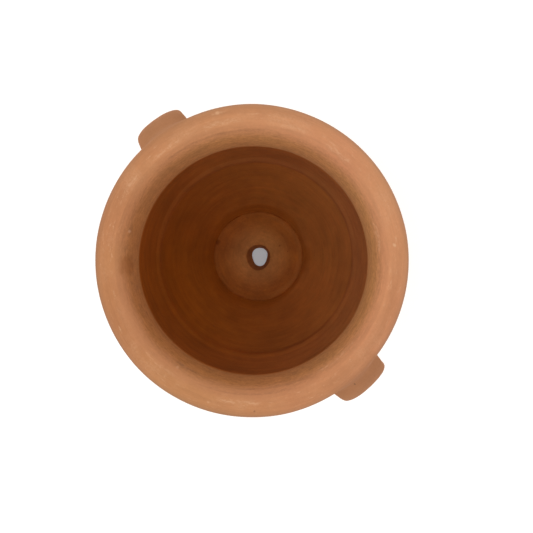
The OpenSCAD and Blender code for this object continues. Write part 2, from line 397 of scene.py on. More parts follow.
def hole_rows(pot, bore_shift, funnel_shift):
    """The drain hole from below: its rounded lower edge, the straight bore and the pressed funnel."""
    radius, start = pot.drain_radius, pot.floor_height + pot.pad_rise - pot.funnel_depth
    edge_width, edge_height, bore_from, bore_end = 0.0008, 0.0010, 0.0025, 0.001
    bore = [(radius + edge_width, 0.0), (radius + edge_width / 4, edge_height * 0.4), (radius, edge_height)]
    bore += [(radius, height) for height in np.linspace(bore_from, start - bore_end, 5)]
    t = np.linspace(0, 1, 12)
    straight, bulge, calmer = 0.72, 1.15, 1 - 0.4 * t
    widening = t * straight + (1 - straight) * t ** 3
    funnel = np.column_stack([radius + (pot.funnel_radius - radius) * widening,
                              start + pot.funnel_depth * (1 - (1 - t) ** bulge)])
    return [
        with_marks(plain_face(bore, -1.0), shift=bore_shift, ragged=-pot.drain_ragged, within=1.0),
        with_marks(plain_face(funnel, -1.0), shift=bore_shift + t[:, None] * (funnel_shift - bore_shift),
                   ragged=-pot.drain_ragged * calmer, within=1.0),
    ]


def floor_rows(pot, funnel_shift):
    """The floor from the funnel outwards, with the step that a tool left and a bead at the pad's edge."""
    edge, top = pot.floor_radius - pot.pad_edge, pot.floor_height + pot.pad_rise
    step_height, step_radius, step_width, step_start = 0.00022, 0.043, 0.0012, 0.030
    bead_height, bead_inset, bead_width, off_funnel = 0.00030, 0.0022, 0.0018, 0.0012
    radii = np.linspace(pot.funnel_radius + off_funnel, edge, 34)
    tool_step = step_height * np.tanh((step_radius - radii) / step_width) * (radii > step_start)
    bead = bead_height * np.exp(-((radii - edge + bead_inset) / bead_width) ** 2)
    turn = np.radians(np.linspace(90, 0, 7))[1:]
    floor = np.vstack([
        np.column_stack([radii, np.full_like(radii, top) + tool_step + bead]),
        np.column_stack([edge + pot.pad_edge * np.cos(turn), pot.floor_height + pot.pad_rise * np.sin(turn)]),
    ])
    floor = np.column_stack([floor, np.zeros(len(floor)), np.ones(len(floor)), floor[:, R]])
    rings = np.interp(floor[:, R], [0.018, 0.03, 0.052, 0.058], [0.0, 0.3, 0.3, 0.4])
    fade = np.interp(floor[:, R], [pot.funnel_radius, TRUE_FLOOR], [1.0, 0.0])[:, None]
    return with_marks(floor, rings=rings, shift=fade * funnel_shift, within=1.0)


def foot_rows(pot, bore_shift):
    """The slab's bevel under the wall, its rounded side and its underside back to the drain hole."""
    bevel_width, bevel_rise, off_side, off_bore = 0.004, 0.0015, 0.008, 0.003
    turn = np.radians(np.linspace(0, -90, 9))
    side = np.column_stack([pot.foot_radius - pot.edge_round + pot.edge_round * np.cos(turn),
                            pot.edge_round + pot.edge_round * np.sin(turn)])
    bevel = [(pot.foot_radius - bevel_width, pot.foot_height + bevel_rise),
             (pot.foot_radius, pot.foot_height)]
    radii = np.linspace(pot.foot_radius - off_side, pot.drain_radius + off_bore, 6)
    fade = np.interp(radii, [pot.drain_radius, TRUE_FLOOR], [1.0, 0.0])[:, None]
    bottom = plain_face([(radius, 0.0) for radius in radii])
    return [with_marks(plain_face(np.vstack([bevel, side]))), with_marks(bottom, shift=fade * bore_shift)]


# Small helpers for node trees

# Places of a Mix node's sockets when it mixes colours
MIX_SHARE, MIX_A, MIX_B, MIX_RESULT = 0, 6, 7, 2
# Kinds of a group's results, by the types of the sockets that give them
RESULT_KINDS = {"VALUE": "Float", "VECTOR": "Vector", "RGBA": "Color", "GEOMETRY": "Geometry"}
# Distances between nodes in the node editor
COLUMN_WIDTH, ROW_HEIGHT = 220, 190
# Radius of the circle round which an outline is turned, so small that it keeps its own radii
WHEEL_POINT = 1e-5


class Value:
    """A node's result. A sum written with it adds Math nodes to its tree."""

    def __init__(self, socket):
        self.socket = socket

    @property
    def tree(self):
        return self.socket.id_data

    def __add__(self, other):
        return calculate("ADD", self, other)

    def __sub__(self, other):
        return calculate("SUBTRACT", self, other)

    def __rsub__(self, other):
        return calculate("SUBTRACT", other, self)

    def __mul__(self, other):
        return calculate("MULTIPLY", self, other)

    def __truediv__(self, other):
        return calculate("DIVIDE", self, other)

    def __rtruediv__(self, other):
        return calculate("DIVIDE", other, self)

    __radd__, __rmul__ = __add__, __mul__


def tree_of(*values):
    """The tree of the first node's result among some values."""
    return next(value.tree for value in values if isinstance(value, Value))


def feed(socket, value):
    """Links a node's result to a socket, or sets the socket to a plain value."""
    if isinstance(value, Value):
        value.tree.links.new(value.socket, socket)
    elif socket.type == "RGBA":
        socket.default_value = (*value[:3], 1.0)
    else:
        socket.default_value = value


def add_node(tree, kind, inputs=(), **settings):
    """Adds a node, sets its options, and feeds its inputs, which are given by name or by place."""
    node = tree.nodes.new(kind)
    for name, value in settings.items():
        setattr(node, name, value)
    for name, value in dict(inputs).items():
        feed(node.inputs[name], value)
    return node


def result(tree, kind, inputs=(), output=0, **settings):
    """One result of a new node."""
    return Value(add_node(tree, kind, inputs, **settings).outputs[output])


def calculate(operation, *values, clamp=False):
    """A Math node's result."""
    return result(tree_of(*values), "ShaderNodeMath", enumerate(values), operation=operation, use_clamp=clamp)


def calculate_vector(operation, *values, output="Vector"):
    """A Vector Math node's result."""
    return result(tree_of(*values), "ShaderNodeVectorMath", enumerate(values), output, operation=operation)


def scaled(vector, scale):
    return result(vector.tree, "ShaderNodeVectorMath", {"Vector": vector, "Scale": scale}, operation="SCALE")


def facing_of(way, direction):
    """1 where a way leads in a direction, and -1 where it leads the other way."""
    return calculate_vector("DOT_PRODUCT", way, direction, output="Value")


def axis_of(place, axis):
    return result(place.tree, "ShaderNodeSeparateXYZ", {"Vector": place}, axis)


def vector_of(**parts):
    """A vector from its X, Y and Z, where a part that isn't given is 0."""
    return result(tree_of(*parts.values()), "ShaderNodeCombineXYZ", parts)


def height_of(place):
    return axis_of(place, "Z")


def flat_of(place):
    """A place moved down or up to the ground."""
    return calculate_vector("MULTIPLY", place, (1.0, 1.0, 0.0))


def radius_of(place):
    """The distance of a place from the pot's axis."""
    return calculate_vector("LENGTH", flat_of(place), output="Value")


def way_out(place):
    """The level direction from the pot's axis to a place."""
    return calculate_vector("NORMALIZE", flat_of(place))


def remap(value, low, high, to_low=0.0, to_high=1.0, smooth=True):
    """Turns one range of values into another, with soft ends."""
    return result(value.tree, "ShaderNodeMapRange", {
        "Value": value, "From Min": low, "From Max": high, "To Min": to_low, "To Max": to_high,
    }, interpolation_type="SMOOTHSTEP" if smooth else "LINEAR")


def blend(share_of_b, a, b, how="MIX"):
    """A mix of two colours."""
    return result(tree_of(share_of_b, a, b), "ShaderNodeMix", {MIX_SHARE: share_of_b, MIX_A: a, MIX_B: b},
                  MIX_RESULT, data_type="RGBA", blend_type=how)


def tinted(tone, by):
    """A colour multiplied by another one, or by a number."""
    return blend(1.0, tone, by, "MULTIPLY")


def noise_of(place, scale, detail=2.0, roughness=0.5, w=None):
    """A noise texture's value from 0 to 1, at a place, at w alone, or at both."""
    dimensions = "3D" if w is None else "1D" if place is None else "4D"
    where = {name: value for name, value in (("Vector", place), ("W", w)) if value is not None}
    return result(tree_of(place, w), "ShaderNodeTexNoise",
                  {**where, "Scale": scale, "Detail": detail, "Roughness": roughness},
                  noise_dimensions=dimensions)


def arrange(tree):
    """Puts the nodes in columns, each to the left of what it feeds."""
    depth = {node: 0 for node in tree.nodes}
    for _ in range(len(tree.nodes)):
        for link in tree.links:
            depth[link.from_node] = max(depth[link.from_node], depth[link.to_node] + 1)
    filled = {}
    for node in tree.nodes:
        column = depth[node]
        node.location = (-COLUMN_WIDTH * column, -ROW_HEIGHT * filled.get(column, 0))
        filled[column] = filled.get(column, 0) + 1


def socket_name(word):
    return word.replace("_", " ").capitalize()


def input_kind(default):
    """The kind of a group's input: its default's, or else the kind that a word names in place of one."""
    if isinstance(default, str):
        return default
    if isinstance(default, tuple):
        return "Color" if len(default) == 4 else "Vector"
    return "Int" if isinstance(default, int) else "Float"


def group_of(name, kind, wire, inputs):
    """A node group, built once by a function that takes its inputs and gives its results by name."""
    tree = bpy.data.node_groups.get(name)
    if tree:
        return tree
    tree = bpy.data.node_groups.new(name, kind)
    for word, default in inputs.items():
        item = tree.interface.new_socket(socket_name(word), in_out="INPUT",
                                         socket_type="NodeSocket" + input_kind(default))
        if not isinstance(default, str):
            item.default_value = default
    given = tree.nodes.new("NodeGroupInput").outputs
    results = wire(**{word: Value(given[socket_name(word)]) for word in inputs})
    for word, value in results.items():
        tree.interface.new_socket(socket_name(word), in_out="OUTPUT",
                                  socket_type="NodeSocket" + RESULT_KINDS[value.socket.type])
    made = tree.nodes.new("NodeGroupOutput").inputs
    for word, value in results.items():
        feed(made[socket_name(word)], value)
    arrange(tree)
    return tree


def shader_group(name, **inputs):
    """Turns a function that wires a shader group into one that places the group beside what feeds it.

    That gives the group's results by name, or the result itself where there is only one."""

    def placing(wire):
        @functools.wraps(wire)
        def place_group(**values):
            named = {socket_name(word): value for word, value in values.items()}
            node = add_node(tree_of(*values.values()), "ShaderNodeGroup", named, label=name,
                            node_tree=group_of(name, "ShaderNodeTree", wire, inputs))
            results = {socket.name.lower(): Value(socket) for socket in node.outputs}
            return results if len(results) > 1 else next(iter(results.values()))

        return place_group

    return placing


# Geometry Nodes: clay turned on the wheel


def turn_clay(outline, steps_around, ring_depth, ring_pitch, wobble, wobble_size, cut_way, seed, clay):
    """A closed outline turned round Z, with throwing rings, wobble, ragged cuts and sideways shifts."""
    tree, drift_scale, rings_drifted, cut_scale = outline.tree, 9.0, 1.6, 110.0

    def stored(name):
        return result(tree, "GeometryNodeInputNamedAttribute", {"Name": name}, data_type="FLOAT")

    profile = result(tree, "GeometryNodeMeshToCurve", {"Mesh": outline})
    circle = {"Resolution": steps_around, "Radius": WHEEL_POINT}
    wheel = result(tree, "GeometryNodeCurvePrimitiveCircle", circle)
    turned = result(tree, "GeometryNodeCurveToMesh", {"Curve": wheel, "Profile Curve": profile})

    place = result(tree, "GeometryNodeInputPosition")
    outward = way_out(place)
    push = calculate_vector("ADD", scaled(outward, stored("out_r")), vector_of(Z=stored("out_z")))
    turns = calculate("ARCTAN2", axis_of(place, "Y"), axis_of(place, "X")) / math.tau
    drift = noise_of(place, drift_scale, 1.0, w=seed) * rings_drifted
    phase = stored("along") / ring_pitch + turns + drift
    rings = calculate("SINE", phase * math.tau) * stored("rings") * ring_depth
    swell = (noise_of(place, 1.0 / wobble_size, 1.5, 0.45, w=seed) - 0.5) * 2.0 * wobble
    facing = facing_of(outward, cut_way)
    oval = facing * facing * 2.0 - 1.0
    corners = facing * (oval * 2.0 - 1.0)
    cut = (noise_of(place, cut_scale, 1.5, w=seed) + (corners * 0.5 + oval)) * stored("ragged")
    shift = vector_of(X=stored("shift_x"), Y=stored("shift_y"))
    offset = calculate_vector("ADD", scaled(push, rings + swell + cut), shift)

    shaped = result(tree, "GeometryNodeSetPosition", {"Geometry": turned, "Offset": offset})
    smooth = result(tree, "GeometryNodeSetShadeSmooth", {"Geometry": shaped})
    real = result(tree, "GeometryNodeRealizeInstances", {"Geometry": smooth})
    return {"piece": result(tree, "GeometryNodeSetMaterial", {"Geometry": real, "Material": clay})}


def set_inputs(modifier, values):
    """Sets a modifier's inputs by the identifiers of its sockets."""
    for item in modifier.node_group.interface.items_tree:
        if item.item_type == "SOCKET" and item.in_out == "INPUT" and item.name in values:
            modifier[item.identifier] = values[item.name]


def volume_of(mesh):
    mesh.calc_loop_triangles()
    places = np.empty(len(mesh.vertices) * 3)
    mesh.vertices.foreach_get("co", places)
    corners = np.empty(len(mesh.loop_triangles) * 3, int)
    mesh.loop_triangles.foreach_get("vertices", corners)
    a, b, c = places.reshape(-1, 3)[corners.reshape(-1, 3)].transpose(1, 0, 2)
    return float(np.einsum("ij,ij->i", a, np.cross(b, c)).sum() / 6)


def finish_piece(piece, node):
    """Gives a finished piece its creases and body, and hides the CAD node that it replaces. It stops where a
    face points inwards.
    """
    if volume_of(piece.data) <= 0:
        raise RuntimeError(f"{piece.name} is inside out")
    piece.data.set_sharp_from_angle(angle=CREASE)
    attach(piece, BODY)
    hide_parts(node)


def turn_on_wheel(node, stretches, clay):
    """Turns an outline, given as stretches of rows from with_marks, into the piece that replaces a node."""
    marks, pot = bpy.context.scene.throwing_marks, bpy.context.scene.pot_sizes
    rows = np.vstack(stretches)
    name, count = node + "_clay", len(rows)
    outline = bpy.data.meshes.new(name)
    outline.from_pydata([(row[R], -row[Z], 0.0) for row in rows],
                        [(i, (i + 1) % count) for i in range(count)], [])
    for column, kept in enumerate(KEPT, start=OUT_R):
        stored = outline.attributes.new(kept, "FLOAT", "POINT")
        stored.data.foreach_set("value", np.ascontiguousarray(rows[:, column], np.float32))
    piece = bpy.data.objects.new(name, outline)
    bpy.context.scene.collection.objects.link(piece)
    wheel = piece.modifiers.new("Turned clay", "NODES")
    wheel.node_group = group_of("Turned clay", "GeometryNodeTree", turn_clay, {
        "outline": "Geometry", "steps_around": 320, "ring_depth": 0.0004, "ring_pitch": 0.0085,
        "wobble": 0.0005, "wobble_size": 0.075, "cut_way": (1.0, 0.0, 0.0), "seed": 0.0, "clay": "Material",
    })
    set_inputs(wheel, {
        "Steps around": marks.steps_around, "Ring depth": marks.ring_depth, "Ring pitch": marks.ring_pitch,
        "Wobble": marks.wobble, "Wobble size": marks.wobble_size, "Cut way": direction_of(pot.drain_way),
        "Seed": marks.seed, "Clay": clay,
    })
    depsgraph = bpy.context.evaluated_depsgraph_get()
    turned = bpy.data.meshes.new_from_object(piece.evaluated_get(depsgraph), preserve_all_data_layers=True,
                                             depsgraph=depsgraph)
    piece.modifiers.clear()
    piece.data = turned
    turned.name = name
    bpy.data.meshes.remove(outline)
    finish_piece(piece, node)


# Shader groups: effects that several clays share


@shader_group("Clay mottling", place="Vector", colour=(0.5, 0.2, 0.1, 1.0), amount=0.1, patches=0.8,
              speckle=0.5)
def mottling(place, colour, amount, patches, speckle):
    """Soft clouds of pinker, paler and browner clay over a base colour."""
    wide = noise_of(place, 8.0, 3.0, 0.55)
    small = noise_of(place, 46.0, 3.0, 0.6)
    fine = noise_of(place, 420.0, 2.0, 0.6)
    pink, olive = tinted(colour, (1.02, 0.99, 1.00)), tinted(colour, (0.98, 1.01, 0.98))
    hue = blend(remap(wide, 0.35, 0.65), pink, olive)
    value = (wide - 0.5) * 0.9 + (small - 0.5) * patches + (fine - 0.5) * speckle
    return {"colour": tinted(hue, value * (amount * 2.0) + 1.0)}


@shader_group("Clay grain", place="Vector", depth=0.00006)
def grain(place, depth):
    """Fine sandy grain with a few open pits and grog specks."""
    pitted_from, widest_pit, lump_height, pit_depth = 0.90, 0.085, 1.4, 5.0
    sand = noise_of(place, 1300.0, 3.0, 0.65)
    lumps = noise_of(place, 260.0, 2.0)
    cell = add_node(place.tree, "ShaderNodeTexVoronoi", {"Vector": place, "Scale": 62.0}).outputs
    size = result(place.tree, "ShaderNodeSeparateColor", {"Color": Value(cell["Color"])}, "Red")
    limit = remap(size, pitted_from, 1.0, 0.0, widest_pit, smooth=False)
    pit = remap(Value(cell["Distance"]), limit * 0.4, limit, 1.0, 0.0)
    pit = pit * calculate("GREATER_THAN", limit, 0.001)
    return {"height": (sand + lumps * lump_height - pit * pit_depth) * depth, "pits": pit}


@shader_group("Turning lines", place="Vector", along=0.0, depth=0.0001)
def turning_lines(place, along, depth):
    """Fine lines that a sponge and grog leave along the way of turning."""
    sway = 0.004
    swaying = along + noise_of(place, 14.0, 1.0) * sway
    fade = remap(noise_of(place, 22.0, 2.0, 0.6), 0.35, 0.7, 0.25)
    lines = (noise_of(None, 260.0, 3.0, 0.7, w=swaying) - 0.5) * fade
    return {"height": lines * depth, "shade": lines}


@shader_group("Ring space", place="Vector", across=0.0, around=3.0)
def ring_space(place, across, around):
    """Places drawn out round the pot, so that noise on them makes streaks along the way of turning."""
    return {"place": calculate_vector("ADD", scaled(way_out(place), around), vector_of(Z=across))}


def drawn_noise(place, across, scale, around, detail=4.0, roughness=0.65):
    """Noise in streaks. Scale is how many lie in a metre across, and around grows with those in a turn."""
    return noise_of(ring_space(place=place, across=across * scale, around=around), 1.0, detail, roughness)


@shader_group("Wheel streaks", place="Vector", along=0.0, streaks=0.3, blotches=0.5)
def wheel_streaks(place, along, streaks, blotches):
    """Streaks and wider blotches drawn out along the way of turning, as a factor for the colour."""
    thin = drawn_noise(place, along, 260.0, 3.4) - 0.5
    wide = drawn_noise(place, along, 34.0, 1.8, 2.0, 0.5) - 0.5
    return {"factor": 1.0 + (thin * streaks + wide * blotches)}


@shader_group("Drawn mark", place="Vector", radius=0.1, width=0.003, direction=(1.0, 0.0, 0.0), reach=0.98,
              wear=0.5)
def drawn_mark(place, radius, width, direction, reach, wear):
    """A ragged stroke along the way of turning, at one radius and over part of a turn."""
    own_radius, soft_end, raggedness = radius_of(place), 0.7, 1.6
    part = remap(facing_of(way_out(place), direction), reach, (1.0 - reach) * soft_end + reach)
    ragged = (noise_of(place, 70.0, 3.0, 0.65) - 0.5) * (width * raggedness)
    band = remap(calculate("ABSOLUTE", own_radius + ragged - radius), 0.0, width, 1.0, 0.0)
    flecks = remap(drawn_noise(place, own_radius, 420.0, 26.0, 3.0, 0.7), 0.44, 0.60)
    return {"mask": band * part * ((flecks - 1.0) * wear + 1.0)}


@shader_group("Hand mark", place="Vector", centre=(0.0, 0.0, 0.0), size=(0.01, 0.01, 0.01), core=0.2,
              raggedness=0.8)
def hand_mark(place, centre, size, core, raggedness):
    """A soft-edged spot round a centre, for smudges, pits and pale dabs."""
    ragged = {"Vector": place, "Scale": 120.0, "Detail": 3.0}
    shake = result(place.tree, "ShaderNodeTexNoise", ragged, "Color")
    shake = calculate_vector("SUBTRACT", shake, (0.5, 0.5, 0.5))
    offset = calculate_vector("DIVIDE", calculate_vector("SUBTRACT", place, centre), size)
    offset = calculate_vector("ADD", offset, scaled(shake, raggedness))
    return {"mask": remap(calculate_vector("LENGTH", offset, output="Value"), core, 1.0, 1.0, 0.0)}


@shader_group("Fired side", place="Vector", side=(0.0, -1.0, 0.0))
def paler_side(place, side):
    """How far a place lies towards the paler side, from 0 to 1."""
    no_side_within, full_from = 0.01, 0.05
    reached = remap(radius_of(place), no_side_within, full_from, 0.0, 0.5)
    return {"share": 0.5 + facing_of(way_out(place), side) * reached}


@shader_group("Chalk bloom", place="Vector", ring_radius=0.135, ring_width=0.012, amount=0.5)
def highlight_bloom(place, ring_radius, ring_width, amount):
    """Painted highlight: pale chalky marks on a ring of the crest, in patches and short streaks along it."""
    radius, lean, patch_strength = radius_of(place), 0.36, 0.5
    band = remap(calculate("ABSOLUTE", radius - ring_radius), 0.0, ring_width, 1.0, 0.0)
    across = radius - height_of(place) * lean
    streaks = remap(drawn_noise(place, across, 330.0, 13.0, 4.0, 0.68), 0.55, 0.70)
    patches = remap(noise_of(place, 24.0, 3.0, 0.6), 0.42, 0.70)
    speckle = remap(noise_of(place, 500.0, 2.0, 0.6), 0.35, 0.65, 0.3)
    mask = calculate("MAXIMUM", streaks, patches * patch_strength) * band * speckle
    return {"mask": calculate("MULTIPLY", mask, amount, clamp=True)}


# Materials


def start_material(name):
    """A material with its tree and its surface's inputs."""
    material = bpy.data.materials.new(name)
    material.use_nodes = True
    return material, material.node_tree, material.node_tree.nodes["Principled BSDF"].inputs


def finish_material(tree, surface, values):
    """Feeds the surface's named inputs, and puts the nodes in order."""
    for name, value in values.items():
        feed(surface[name], value)
    arrange(tree)


def toned(place, tones, turn):
    """The colour between that of the far side and that of the pale side, where a place lies."""
    if tones[0] == tones[1]:
        return tones[0]
    return blend(paler_side(place=place, side=direction_of(turn)), *tones)


def fired_clay(name, tones, painted_inside_shade=None, tint=None, streaks=0.30, blotches=0.30, patches=0.8,
               speckle=0.5, lines=1.0, lines_shade=0.10, rough=0.0, wear=0.4, chalk=None, strokes=(),
               marks=()):
    """Bare fired clay in two tones, that of the far side and that of the paler side.

    Painted_inside_shade is (low, high, tones, turn): inside the pot, darker tones that paint its shade take
    over from the upper height down to the lower one. Tint is a function that changes the colour after that.
    Streaks, blotches, patches, speckle, lines and lines_shade are strengths of the marks of wheel and grain.
    Rough adds scratches, which grow where the painted inside shade is. Highlight is (radius, width, amount)
    of a ring of painted highlight on the crest. Strokes are (radius, width, direction, spread, colour,
    strength) with the angles in degrees, and a seventh value stands for their own wear in place of the common
    one. Wear breaks them up. Marks are (centre, size, colour, strength, core).
    """
    looks, pot = bpy.context.scene.clay_looks, bpy.context.scene.pot_sizes
    wear_growth, worn_scratches, plain_scratches, pits_shade = 0.35, 0.95, 0.12, 0.5
    grain_top, roughness_play = 2.4, 0.05
    material, tree, surface = start_material(name)
    place = result(tree, "ShaderNodeTexCoord", output="Object")
    along, within = (result(tree, "ShaderNodeAttribute", output="Fac", attribute_name=kept)
                     for kept in ("along", "within"))
    on_top = calculate("GREATER_THAN", height_of(place), pot.height - MARKED_DROP)
    seen = calculate("MAXIMUM", within, on_top)
    shade, worn_and_shaded = toned(place, tones, looks.side_turn), 0.0
    if painted_inside_shade:
        low, high, inside_tones, turn = painted_inside_shade
        # Painted shade: inside the pot the darker tones take over downwards.
        dark = remap(height_of(place), high, low) * within
        shade = blend(dark, shade, toned(place, inside_tones, turn))
        worn_and_shaded = calculate("POWER", dark, wear_growth) if rough else 0.0
    if tint:
        shade = tint(place, within, shade)
    shade = mottling(place=place, colour=shade, amount=looks.mottle, patches=patches,
                     speckle=worn_and_shaded * rough + speckle)
    sand = grain(place=place, depth=looks.grain_depth)
    turned = turning_lines(place=place, along=along, depth=looks.line_depth * lines)
    value = wheel_streaks(place=place, along=along, streaks=streaks, blotches=blotches)
    value = value + turned["shade"] * (lines_shade * 2)
    if rough:
        scratches = drawn_noise(place, along, 430.0, 15.0, 3.0, 0.7) - 0.5
        value = value + scratches * (worn_and_shaded * (rough * worn_scratches) + plain_scratches)
    shade = tinted(shade, value)
    # Painted highlight: a pale ring along the crest.
    if chalk:
        ring_radius, ring_width, amount = chalk
        bloom = highlight_bloom(place=place, ring_radius=ring_radius, ring_width=ring_width, amount=amount)
        shade = blend(bloom * seen, shade, looks.chalk)
    for radius, width, direction, spread, tone, strength, *own_wear in strokes:
        way, reach = direction_of(math.radians(direction)), math.cos(math.radians(spread))
        mask = drawn_mark(place=place, radius=radius, width=width, direction=way, reach=reach,
                          wear=(own_wear or [wear])[0])
        shade = blend(mask * seen * strength, shade, tone)
    for centre, size, tone, strength, core in marks:
        mask = hand_mark(place=place, centre=centre, size=size, core=core)
        shade = blend(mask * strength, shade, tone)
    bump = {"Height": sand["height"] + turned["height"], "Strength": 1.0, "Distance": 1.0}
    finish_material(tree, surface, {
        "Base Color": blend(sand["pits"] * pits_shade, shade, looks.soot_and_shade),
        "Roughness": remap(sand["height"], 0.0, looks.grain_depth * grain_top,
                           looks.roughness - roughness_play, looks.roughness + roughness_play),
        "Specular IOR Level": 0.25,
        "Normal": result(tree, "ShaderNodeBump", bump),
    })
    return material


def near_lugs(place):
    """1 where a place lies in the direction of a lug."""
    swing = bpy.context.scene.lug_sizes.swing
    level_x = calculate("ABSOLUTE", axis_of(place, "X")) * math.cos(swing)
    facing = (level_x - axis_of(place, "Y") * math.sin(swing)) / radius_of(place)
    edge, full = math.radians(12.5), math.radians(9.5)
    return remap(facing, math.cos(edge), math.cos(full))


def rim_clay():
    looks, pot = bpy.context.scene.clay_looks, bpy.context.scene.pot_sizes
    lug_shade, pale, chalk, soot_and_shade = looks.lug, looks.clay_pale, looks.chalk, looks.soot_and_shade
    slope = (looks.slope, looks.painted_mouth_shade_pale)

    def darker_edge(place, within, shade):
        """Painted shade low on the outside of the lip, and the lugs' darker clay, also painted shade, where
        it is smeared on it.
        """
        # Drops from the crest where the painted shade is full, fades and has gone, and where the smear is
        # full
        shade_full, shade_fades, shade_gone, smear_full = 0.008, 0.010, 0.020, 0.0055
        above_crest, above_neck, most_smeared = 0.0004, 0.003, 0.85
        height, outside = height_of(place), 1.0 - within
        smeared = near_lugs(place) * outside
        # Painted shade: the lip darkens low on its outer roll, away from the lugs.
        low = remap(height, pot.height, pot.height - shade_full, 0.0, looks.painted_edge_shade)
        not_under = remap(height, pot.height - shade_gone, pot.height - shade_fades)
        shade = blend(low * not_under * outside * (1.0 - smeared), shade, looks.edge)
        # Painted shade: the lugs' darker colour reaches up onto the lip where they are smeared on it.
        lip = remap(height, pot.neck_height + above_neck, pot.height - pot.lip_height)
        worn_and_shaded = remap(height, pot.height + above_crest, pot.height - smear_full, 0.0, most_smeared)
        return blend(worn_and_shaded * lip * smeared, shade, looks.lug)

    return fired_clay(
        "Rim clay", (looks.clay, looks.clay_pale), tint=darker_edge,
        painted_inside_shade=(pot.height - 0.018, pot.height - 0.002, slope, looks.side_turn),
        streaks=0.30, blotches=0.12, patches=0.25, speckle=0.4, lines=1.3, rough=0.8, wear=0.9,
        chalk=(crest_of(pot)[0] + 0.003, 0.014, 0.6),
        # Painted highlight and shade: the pale chalky strokes and marks brighten the crest and the ridge at
        # its inner edge, and the soot line at -20 degrees just inside that ridge is its painted shade.
        strokes=[
            (0.1340, 0.0034, -27.0, 9, chalk, 0.45), (0.1328, 0.0034, -1.5, 8, chalk, 0.45),
            (0.1345, 0.0040, 20.5, 8, chalk, 0.45), (0.1311, 0.0030, 99.5, 9, chalk, 0.25),
            (0.1344, 0.0034, 136.5, 10, chalk, 0.50), (0.1318, 0.0026, -55.5, 7, chalk, 0.40),
            (0.1311, 0.0030, -77.0, 8, chalk, 0.45), (0.1435, 0.0022, -26.0, 3, chalk, 0.6),
            (0.1250, 0.0014, -20.0, 34, soot_and_shade, 0.26, 0.5), (0.1262, 0.0016, 140.0, 25, soot_and_shade, 0.35),
            (0.1200, 0.0040, 38.5, 11, soot_and_shade, 0.30), (0.1173, 0.0040, 57.5, 11, soot_and_shade, 0.34),
            (0.1207, 0.0030, 110.5, 7, soot_and_shade, 0.25), (0.1186, 0.0040, 76.5, 10, soot_and_shade, 0.22),
            (0.1180, 0.0028, -93.5, 15, soot_and_shade, 0.18), (0.1174, 0.0028, 171.5, 15, soot_and_shade, 0.20),
            # Painted shade: these two wide strokes darken the rim with the lugs' colour.
            (0.1375, 0.0080, -162.0, 34, lug_shade, 0.32, 0.2), (0.1435, 0.0065, -32.0, 38, lug_shade, 0.36, 0.2),
            (0.1268, 0.0090, 106.5, 65, pale, 0.42, 0.2), (0.1185, 0.0045, 5.0, 28, soot_and_shade, 0.24, 0.3),
            (0.1225, 0.0024, -116.0, 9, chalk, 0.40), (0.1235, 0.0014, -176.5, 13, chalk, 0.35),
            (0.1226, 0.0010, 152.0, 20, soot_and_shade, 0.26, 0.4), (0.1203, 0.0011, 114.0, 14, soot_and_shade, 0.28, 0.4),
            (0.1268, 0.0009, 138.0, 24, soot_and_shade, 0.18, 0.4),
        ],
        marks=[
            ((-0.1409, -0.0440, 0.272), (0.0016, 0.0016, 0.003), soot_and_shade, 0.8, 0.3),
            ((0.1294, -0.0624, 0.278), (0.0030, 0.0030, 0.003), chalk, 0.6, 0.2),
            ((-0.0718, -0.1154, 0.280), (0.0030, 0.0020, 0.003), chalk, 0.8, 0.2),
            ((0.0717, 0.0952, 0.267), (0.0145, 0.0145, 0.016), looks.burnt_and_shade, 0.34, 0.4),
            ((0.0960, 0.0737, 0.267), (0.0022, 0.0022, 0.005), chalk, 0.5, 0.3),
            ((-0.0354, 0.1194, 0.272), (0.0026, 0.0026, 0.004), chalk, 0.5, 0.3),
        ],
    )


def wall_clay():
    looks, neck = bpy.context.scene.clay_looks, bpy.context.scene.pot_sizes.neck_height
    return fired_clay(
        "Wall clay", (looks.clay, looks.clay_pale),
        painted_inside_shade=(neck + 0.01, neck + 0.02, (looks.above, looks.above_pale), looks.inside_turn),
        streaks=0.28, blotches=0.55, patches=1.2, lines=1.2, lines_shade=0.12,
    )


def lower_wall_clay():
    looks, pot = bpy.context.scene.clay_looks, bpy.context.scene.pot_sizes
    burnt_and_shade, pale = looks.burnt_and_shade, looks.floor

    def low_tone_and_crease_shade(place, within, shade):
        """Lighter clay near the floor, and a dark ring of painted shade in the corner round it that is wider
        in places.
        """
        light_below, lightest_below, lightest = 0.090, 0.035, 0.18
        narrow_ring, wide_ring, clear, full_part, darkest = 0.004, 0.016, 0.0005, 0.15, 0.66
        low = remap(height_of(place), light_below, lightest_below, 0.0, lightest)
        shade = blend(low * within, shade, looks.low)
        # Painted shade: a dark ring in the corner where the wall meets the floor.
        ring_width = remap(noise_of(place, 14.0, 2.0, 0.6), 0.35, 0.65, narrow_ring, wide_ring)
        off = radius_of(place) - (pot.floor_radius + clear)
        ring = remap(off, ring_width * full_part, ring_width, darkest, 0.0)
        return blend(ring * within, shade, looks.damp)

    return fired_clay(
        "Lower wall clay", (looks.clay, looks.clay_pale), tint=low_tone_and_crease_shade,
        painted_inside_shade=(pot.neck_height, pot.height, (looks.deep, looks.deep_pale), looks.inside_turn),
        streaks=0.34, blotches=0.50, patches=1.4, lines=1.2, lines_shade=0.12,
        # Painted shade: the burnt strokes are dark arcs of shade along grooves above the floor's corner and a
        # ring under the seam coil.
        strokes=[
            (0.0643, 0.0030, -40.5, 50, burnt_and_shade, 0.22), (0.0835, 0.0032, -43.5, 42, burnt_and_shade, 0.14),
            (0.0736, 0.0022, -38.5, 36, burnt_and_shade, 0.10), (0.0690, 0.0024, -43.5, 44, pale, 0.12),
            (0.1129, 0.0024, 96.5, 150, burnt_and_shade, 0.26),
        ],
    )


